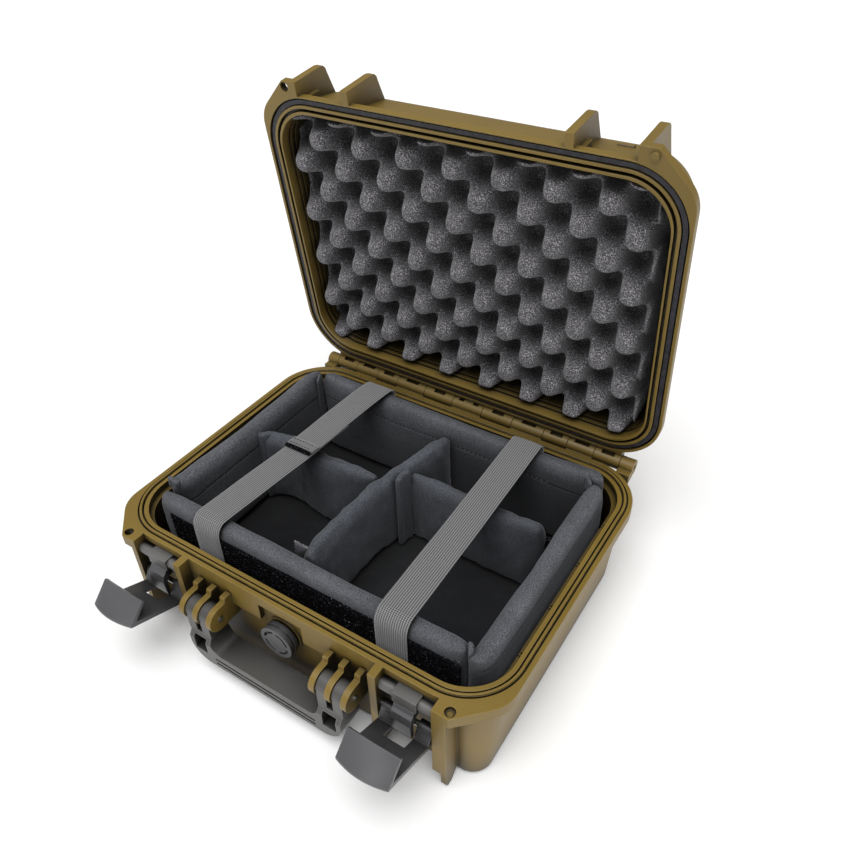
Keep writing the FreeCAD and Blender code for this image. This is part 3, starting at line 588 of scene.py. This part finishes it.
# Folded cloth where panels end: name, path, thickness, lowest and highest point, fall of the top, look
FOLDS = (
    ("back_left_fold", [(-133.6, 94.0), (-130.6, 89.4), (-129.2, 84.6)],
     3.0, 50.0, 97.6, 2.0, "fabric"),
    ("front_left_flap", [(-146.2, -77.6), (-140.0, -77.0), (-133.6, -77.8)],
     4.6, 89.0, 99.6, 1.5, "fabric"),
    ("front_right_tuck", [(128.6, -84.6), (132.0, -88.6), (133.6, -93.4)],
     3.6, 84.0, 98.4, 3.0, "fabric"),
    ("back_right_tuck", [(127.6, 93.4), (131.6, 90.4), (135.0, 86.4)],
     3.4, 84.0, 97.8, 2.0, "fabric"),
    ("left_divider_cuff", [(-132.4, 6.0), (-128.0, 12.0), (-126.0, 19.0)],
     7.0, 16.0, 89.0, 3.0, "divider"),
    ("right_divider_flap", [(2.6, 18.0), (2.2, 26.0), (5.0, 34.0)],
     5.0, 16.0, 90.0, -1.5, "divider"),
    ("main_divider_tab", [(-24.5, -73.5), (-18.6, -69.0), (-12.0, -65.1)],
     3.0, 62.0, 93.0, 15.0, "hook_tape"),
    ("right_divider_hooks", [(124.0, 33.0), (128.0, 38.0), (128.6, 45.0)],
     4.0, 20.0, 80.0, 5.0, "pile"),
)


def finish_pad(piece, node_name, material, seed, amount, where=None, cap=1.2 * MM):
    puff(piece, cap)
    subdivide_once(piece)
    crease(piece, amount, BROAD_WRINKLES, seed)
    crease(piece, amount * 1.6, TIGHT_WRINKLES, seed + 3.0, where)
    smooth(piece)
    wear(piece, material)
    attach(piece, "base")
    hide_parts(node_name)
    return piece


def make_walls(looks):
    """The four padded walls. Each ends against the next one, with a sewn line outside and one inside."""
    outer, inner = (WALL_TOP - OUTER_SEAM) * MM, (WALL_TOP - INNER_SEAM) * MM
    pads = {}
    for name, (path, outward, seed) in WALLS.items():
        ends = [Vector((*path[0], 0)) * MM, Vector((*path[-1], 0)) * MM]

        def near_ends(p, ends=ends):
            nearest = min(((p - e) * Vector((1, 1, 0))).length for e in ends)
            return max(0.0, 1.0 - nearest / WRINKLED_END)
        pad = pad_body("padded_" + name, path, WALL_T, PAD_LOW, WALL_TOP, WALL_EDGE_R, WALL_END_R,
                       lambda t, s=seed: WALL_WAVE * math.sin(t * 9.0 + s))
        finish_pad(pad, name, looks["fabric"], seed, 0.0006, near_ends)
        sew(pad, Vector(outward), outer)
        sew(pad, -Vector(outward), inner)
        smooth(pad)
        pads[name] = pad
    bpy.context.view_layer.update()

    half = WALL_T / 2 * MM
    x, y0, y1 = OUT_X * MM, FRONT_Y * MM, BACK_Y * MM
    runs = [((-0.124, y0 - half, outer), (0.128, y0 - half, outer), (0, -1, 0), "front"),
            ((-0.130, y0 + half, inner), (0.128, y0 + half, inner), (0, 1, 0), "front"),
            ((x + half, -0.086, outer), (x + half, 0.090, outer), (1, 0, 0), "right"),
            ((x - half, -0.080, inner), (x - half, 0.090, inner), (-1, 0, 0), "right"),
            ((-0.128, y1 - half, inner), (0.128, y1 - half, inner), (0, -1, 0), "back"),
            ((-0.128, y1 + half, outer), (0.120, y1 + half, outer), (0, 1, 0), "back"),
            ((-x + half, -0.080, inner), (-x + half, 0.090, inner), (1, 0, 0), "left"),
            ((-x - half, -0.078, outer), (-x - half, 0.076, outer), (-1, 0, 0), "left")]
    runs = [run[:3] + (pads["liner_%s_wall" % run[3]],) for run in runs]
    thread = stitches("wall_stitches", runs)
    wear(thread, looks["thread"])
    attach(thread, "base")


def make_dividers(looks):
    """The three dividers. Each shape says how its top rises or sags from its start (0) to its end (1)."""
    def main_top(t):
        return -3.0 * max(0.0, 1.0 - t / 0.12) ** 2 + 1.2 * math.sin(t * 3.1)

    def left_top(t):
        return -4.0 * max(0.0, 1.0 - t / 0.10) ** 2 - 2.0 * max(0.0, (t - 0.8) / 0.2)

    def right_top(t):
        return -1.0 - 9.0 * max(0.0, (t - 0.90) / 0.10) ** 2
    pads = (("main_divider", MAIN_PATH, DIVIDER_TOP, main_top, 21.0),
            ("left_divider", LEFT_PATH, DIVIDER_TOP - 1.5, left_top, 23.0),
            ("right_divider", RIGHT_PATH, DIVIDER_TOP - 2.0, right_top, 25.0))
    for name, path, top, shape, seed in pads:
        pad = pad_body("padded_" + name, path, DIVIDER_T, PAD_LOW, top, DIVIDER_EDGE_R, DIVIDER_END_R,
                       shape)
        finish_pad(pad, name, looks["divider"], seed, 0.0008, cap=1.0 * MM)


def make_folds(looks):
    """The hems, tucks and hook-and-loop ends that stick up where the sewn panels end."""
    for number, (name, path, thickness, low, high, fall, look) in enumerate(FOLDS):
        fold = pad_body(name, path, thickness, low, high, thickness * 0.45, 1.6,
                        lambda t, fall=fall: -fall * t, step=1.5)
        subdivide_once(fold)
        crease(fold, 0.0007, (110.0, 110.0, 40.0), 41.0 + number)
        smooth(fold)
        wear(fold, looks[look])
        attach(fold, "base")


def make_floor_pad(looks):
    """The flat pad under the insert, with rounded corners and edges."""
    def build(bm):
        half_w, y0, y1, r = 145.0, -95.0, 105.0, 20.0
        corners = ((half_w - r, y0 + r, -90), (half_w - r, y1 - r, 0),
                   (r - half_w, y1 - r, 90), (r - half_w, y0 + r, 180))
        rings = []
        for inset, z in ((1.0, 4.2), (0.0, 6.0), (0.0, 11.6), (1.6, 13.6)):
            ring = []
            for cx, cy, start in corners:
                for k in range(7):
                    a = math.radians(start + 15 * k)
                    ring.append(bm.verts.new(Vector((cx + (r - inset) * math.cos(a),
                                                     cy + (r - inset) * math.sin(a), z)) * MM))
            rings.append(ring)
        loft(bm, rings)
    pad = new_piece("padded_floor", build)
    finish_pad(pad, "liner_floor_pad", looks["floor"], 31.0, 0.0004, cap=0.3 * MM)


STRIP_X, STRIP_Z = (-0.1300, 0.1295), (0.0460, 0.0855)      # metres
STRIP_FACE_Y, STRIP_BACK_Y, STRIP_STEP = -0.0977, -0.0966, 0.0011


def make_loop_strip(looks):
    """The looped strip round the outside of the front wall: a thin mat with a rough face."""
    def build(bm):
        (x0, x1), (z0, z1) = STRIP_X, STRIP_Z
        across, up = int((x1 - x0) / STRIP_STEP), int((z1 - z0) / STRIP_STEP)
        front, back = [], []
        for j in range(up + 1):
            for i in range(across + 1):
                x, z = x0 + (x1 - x0) * i / across, z0 + (z1 - z0) * j / up
                edge = i in (0, across) or j in (0, up)
                rough = (noise.noise(Vector((x * 700, z * 700, 1.0)))
                         + 0.6 * noise.noise(Vector((x * 1500, z * 1500, 4.0))))
                # the left end follows the corner of the wall
                bend = 0.0042 * max(0.0, (-0.1235 - x) / 0.0065) ** 1.5
                pile = 0.0 if edge else 0.0006 + 0.0007 * rough
                front.append(bm.verts.new((x, STRIP_FACE_Y + bend - pile, z)))
                back.append(bm.verts.new((x, STRIP_BACK_Y + bend, z)))
        grid_faces(bm, front, across, up)
        rim = [j * (across + 1) + i for i, j in grid_rim(across, up)]
        for a, b in zip(rim, rim[1:] + rim[:1]):
            bm.faces.new((front[a], front[b], back[b], back[a]))
        bm.faces.new([back[i] for i in rim])
        for vertex in [v for v in back if not v.link_faces]:
            bm.verts.remove(vertex)
    strip = new_piece("loop_pile_strip", build)
    wear(strip, looks["pile"])
    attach(strip, "base")
    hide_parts("loop_strip")


# ---- straps (in mm) -------------------------------------------------------------------------
STRAP_WIDTH, STRAP_THICK, STRAP_STEP = 25.5, 1.3, 2.0
THIN_EDGE = 0.49                            # beyond this share of the width the edge is thinner
STRAP_COLUMNS = [-0.5, -0.46, -0.3, -0.1, 0.1, 0.3, 0.46, 0.5]
STRAP_START_Y, STRAP_REACH = -96.5, 203.0   # a strap's sideways shift builds up over this reach
RIGHT_X, RIGHT_SHIFT = 78.2, -6.0
LEFT_X, UPPER_X, LEFT_SHIFT = -85.2, -85.0, 12.0
FRONT_END = [(-98.9, 58.0), (-98.9, 72.0), (-98.7, 87.0), (-97.6, 93.4), (-94.6, 97.2), (-90.0, 98.6)]
BACK_END = [(100.0, 98.6), (104.6, 97.2), (107.4, 93.4), (107.8, 87.0), (107.8, 72.0)]
RIGHT_RUN = FRONT_END + [(-60.0, 98.4), (0.0, 97.8), (60.0, 98.4)] + BACK_END
LOWER_RUN = FRONT_END + [(-60.0, 98.2), (-20.0, 97.0), (8.0, 96.4), (34.0, 96.6), (46.0, 97.0)]
UPPER_RUN = [(1.0, 98.4), (6.0, 98.0), (30.0, 98.2), (40.0, 98.7), (60.0, 99.2), (82.0, 99.4)] + BACK_END
HEM_RUN = [(-0.4, 99.5), (4.0, 99.7), (9.8, 99.2)]
BINDING_RUN = [(-2.0, 99.0), (-0.6, 99.8), (0.6, 99.9)]
HEM_SEAMS = ((0.0026, 0.10125), (0.0078, 0.10095))          # (y, z) of the two sewn lines, metres
HEM_SEAM_HALF = 0.0115


def strap(name, run, x_front, shift, node_name, looks):
    """A strap along (y, z) points, its underside on them, moved sideways by shift front to back."""
    def build(bm):
        layer = bm.loops.layers.uv.new("along_strap")
        rows, runs = [], []
        for place, side, d, _ in walk(run, STRAP_STEP):
            y, z = place
            x = x_front + shift * (y - STRAP_START_Y) / STRAP_REACH
            top, under = [], []
            for c in STRAP_COLUMNS:
                crown = 0.25 * (1.0 - (2 * c) ** 2) + 0.12 * math.sin(d * 0.11 + c * 5.0)
                high = STRAP_THICK if abs(c) < THIN_EDGE else STRAP_THICK * 0.6
                low = 0.0 if abs(c) < THIN_EDGE else STRAP_THICK * 0.4
                for face, lift in ((top, high + crown), (under, low + crown)):
                    face.append(bm.verts.new(Vector((x + c * STRAP_WIDTH, y + side.x * lift,
                                                     z + side.y * lift)) * MM))
            rows.append(top + under[::-1])
            runs.append(d)
        across = STRAP_COLUMNS + STRAP_COLUMNS[::-1]
        for (a, da), (b, db) in zip(zip(rows, runs), zip(rows[1:], runs[1:])):
            for i in range(len(a)):
                j = (i + 1) % len(a)
                face = bm.faces.new((a[i], a[j], b[j], b[i]))
                corners = ((across[i], da), (across[j], da), (across[j], db), (across[i], db))
                for loop, (c, d) in zip(face.loops, corners):
                    loop[layer].uv = (c * STRAP_WIDTH * MM, d * MM)
        bm.faces.new(rows[0][::-1])
        bm.faces.new(rows[-1])
    piece = new_piece(name, build)
    smooth(piece)
    wear(piece, looks["webbing"])
    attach(piece, "base")
    if node_name:
        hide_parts(node_name)
    return piece


def declare_strap(run):
    """Walks the run and measures the strap's length along it; the length is not kept or used."""
    length = walk(run, STRAP_STEP)[-1][2]


def make_straps(looks):
    right = strap("webbing_right", RIGHT_RUN, RIGHT_X, RIGHT_SHIFT, "strap_right", looks)
    declare_strap(RIGHT_RUN)
    lower = strap("webbing_left_front", LOWER_RUN, LEFT_X, LEFT_SHIFT, "strap_left_front", looks)
    declare_strap(LOWER_RUN)
    upper = strap("webbing_left_back", UPPER_RUN, UPPER_X, LEFT_SHIFT, "strap_left_back", looks)
    # bound end of the upper half: a folded hem with a dark binding and two dark sewn lines, partly real
    # binding and thread and partly painted shadow along the hem
    hem = strap("webbing_hem", HEM_RUN, UPPER_X, LEFT_SHIFT, None, looks)
    binding_and_shadow = strap("webbing_binding", BINDING_RUN, UPPER_X, LEFT_SHIFT, None, looks)
    wear(binding_and_shadow, looks["pile"])
    x = (UPPER_X + LEFT_SHIFT * (1.0 - STRAP_START_Y) / STRAP_REACH) * MM
    seams = [((x - HEM_SEAM_HALF, y, z), (x + HEM_SEAM_HALF, y, z), (0, 0, 1), None)
             for y, z in HEM_SEAMS]
    thread = stitches("strap_stitches", seams, 0.0030, 0.0022, 0.0003)
    wear(thread, looks["pile"])
    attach(thread, "base")
    declare_strap(UPPER_RUN)


# ---- lid foam (in mm) -----------------------------------------------------------------------
HINGE = Vector((0.0, 0.135, 0.084))         # metres
LID_OPEN = math.radians(-82.7)
PEAK_PITCH, ROW_PITCH = 39.0, 21.5
PEAK_X, ROW_Y = 24.7, 64.0                  # where the pattern of peaks starts
SQUARENESS = 1.25                           # above 1 the peaks and hollows have flatter ends
FOAM_TIP, FOAM_BACK, VALLEY = 86.6, 142.3, 26.0
FOAM_HALF_W, FOAM_MIDDLE_X, FOAM_CORNER, FOAM_STEP = 148.2, -2.6, 17.0, 1.5
FOAM_Y0, FOAM_Y1 = -103.4, 106.6
BACK_RINGS = ((0.6, 118.0), (2.5, 126.0), (9.0, 136.0), (22.0, FOAM_BACK))      # inset, height


def open_lid(point):
    """A point of the shut lid, moved to where the lid stands open."""
    return HINGE + Matrix.Rotation(LID_OPEN, 3, "X") @ (point - HINGE)


def foam_depth(x, y):
    """How far the foam's face lies behind the tips: staggered peaks, a slow drift, a fine crumble."""
    wave = math.cos(2 * math.pi * (x + PEAK_X) / PEAK_PITCH) * math.cos(math.pi * (y + ROW_Y) / ROW_PITCH)
    shaped = math.sin(math.pi / 2 * max(-1.0, min(1.0, wave * SQUARENESS)))
    depth = VALLEY * 0.5 * (1.0 - shaped)
    depth += 0.9 * noise.noise(Vector((x * 0.05, y * 0.05, 2.0)))
    depth += 0.28 * noise.noise(Vector((x * 0.6, y * 0.6, 9.0)))
    return max(0.0, depth)


def rounded_place(u, v):
    """A grid point in -1..1 moved into the foam's rounded rectangle."""
    x, y = u * FOAM_HALF_W, v * (FOAM_Y1 - FOAM_Y0) / 2
    ax, ay = FOAM_HALF_W - FOAM_CORNER, (FOAM_Y1 - FOAM_Y0) / 2 - FOAM_CORNER
    dx, dy = abs(x) - ax, abs(y) - ay
    if dx > 0 and dy > 0:
        k = max(dx, dy) / math.hypot(dx, dy)
        x, y = math.copysign(ax + dx * k, x), math.copysign(ay + dy * k, y)
    return x + FOAM_MIDDLE_X, y + (FOAM_Y0 + FOAM_Y1) / 2


def make_foam(looks):
    """Convoluted foam: staggered rounded peaks with deep square-shouldered hollows between them."""
    def build(bm):
        nx, ny = int(2 * FOAM_HALF_W / FOAM_STEP), int((FOAM_Y1 - FOAM_Y0) / FOAM_STEP)
        grid = []
        for j in range(ny + 1):
            for i in range(nx + 1):
                x, y = rounded_place(2 * i / nx - 1, 2 * j / ny - 1)
                grid.append(bm.verts.new(open_lid(Vector((x, y, FOAM_TIP + foam_depth(x, y))) * MM)))
        grid_faces(bm, grid, nx, ny)
        rim = grid_rim(nx, ny)
        rings = [[grid[j * (nx + 1) + i] for i, j in rim]]
        middle_y, half_y = (FOAM_Y0 + FOAM_Y1) / 2, (FOAM_Y1 - FOAM_Y0) / 2
        for inset, z in BACK_RINGS:
            ring = []
            for i, j in rim:
                x, y = rounded_place(2 * i / nx - 1, 2 * j / ny - 1)
                x = FOAM_MIDDLE_X + (x - FOAM_MIDDLE_X) * (1 - inset / FOAM_HALF_W)
                y = middle_y + (y - middle_y) * (1 - inset / half_y)
                ring.append(bm.verts.new(open_lid(Vector((x, y, z)) * MM)))
            rings.append(ring)
        skin(bm, rings)
        bm.faces.new(rings[-1])
    foam = new_piece("convoluted_foam", build)
    smooth(foam)
    wear(foam, looks["foam"])
    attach(foam, "lid")
    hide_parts("lid_foam")
    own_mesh(foam)


# ---- hard parts, floor and light ------------------------------------------------------------
# start of a part's name, and its look; the first that fits counts
LOOKS_BY_NAME = (
    ("base_shell", "shell"), ("lid_shell", "shell"), ("lid_gasket", "rubber"),
    ("valve_seal", "rubber"), ("carry_handle", "handle"), ("catch_bar", "bar"),
    ("hinge_pin", "steel"), ("latch_pin", "steel"), ("handle_pin", "steel"),
    ("latch_lever", "nylon"), ("catch_clip", "nylon"), ("valve_", "nylon"))


def dress_nodes(looks):
    for name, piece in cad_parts.items():
        for start, look in LOOKS_BY_NAME:
            if name.startswith(start):
                wear(piece, looks[look])
                break


def add_floor():
    bpy.ops.mesh.primitive_plane_add(size=8.0, location=(0, 0, -0.0006))
    floor = bpy.context.object
    floor.name = "floor"
    floor.data.transform(floor.matrix_world)
    floor.matrix_world = Matrix.Identity(4)
    wear(floor, new_material("matt_white_paper", Roughness=0.9, Base_Color=linear("#fbfbfb"))[0])


SUN_AZIMUTH, SUN_ELEVATION, SUN_SPREAD, SUN_ENERGY = 18.0, 69.0, 50.0, 2.9
ROOM_LIGHT = 0.31


def add_lights():
    """A white room that fills the shadows a little, and one large soft source high in front."""
    world = bpy.data.worlds.new("studio")
    bpy.context.scene.world = world
    world.use_nodes = True
    background = world.node_tree.nodes["Background"]
    background.inputs["Color"].default_value = (1.0, 1.0, 1.0, 1.0)
    # the room itself shows white, though it lights the case only faintly
    seen = node(world.node_tree, "ShaderNodeLightPath")
    strength = node(world.node_tree, "ShaderNodeMapRange", links={"Value": seen.outputs["Is Camera Ray"]},
                    values={"To Min": ROOM_LIGHT, "To Max": 1.0})
    world.node_tree.links.new(strength.outputs["Result"], background.inputs["Strength"])
    data = bpy.data.lights.new("soft_sun", "SUN")
    data.energy, data.angle = SUN_ENERGY, math.radians(SUN_SPREAD)
    sun = bpy.data.objects.new("soft_sun", data)
    bpy.context.scene.collection.objects.link(sun)
    source = direction(math.radians(SUN_AZIMUTH), math.radians(SUN_ELEVATION))
    sun.rotation_euler = source.to_track_quat("Z", "Y").to_euler()


bpy.context.scene.view_settings.view_transform = "Standard"
add_camera()
add_lights()
add_floor()
looks = add_materials()
dress_nodes(looks)
make_walls(looks)
make_dividers(looks)
make_folds(looks)
make_floor_pad(looks)
make_loop_strip(looks)
make_straps(looks)
make_foam(looks)
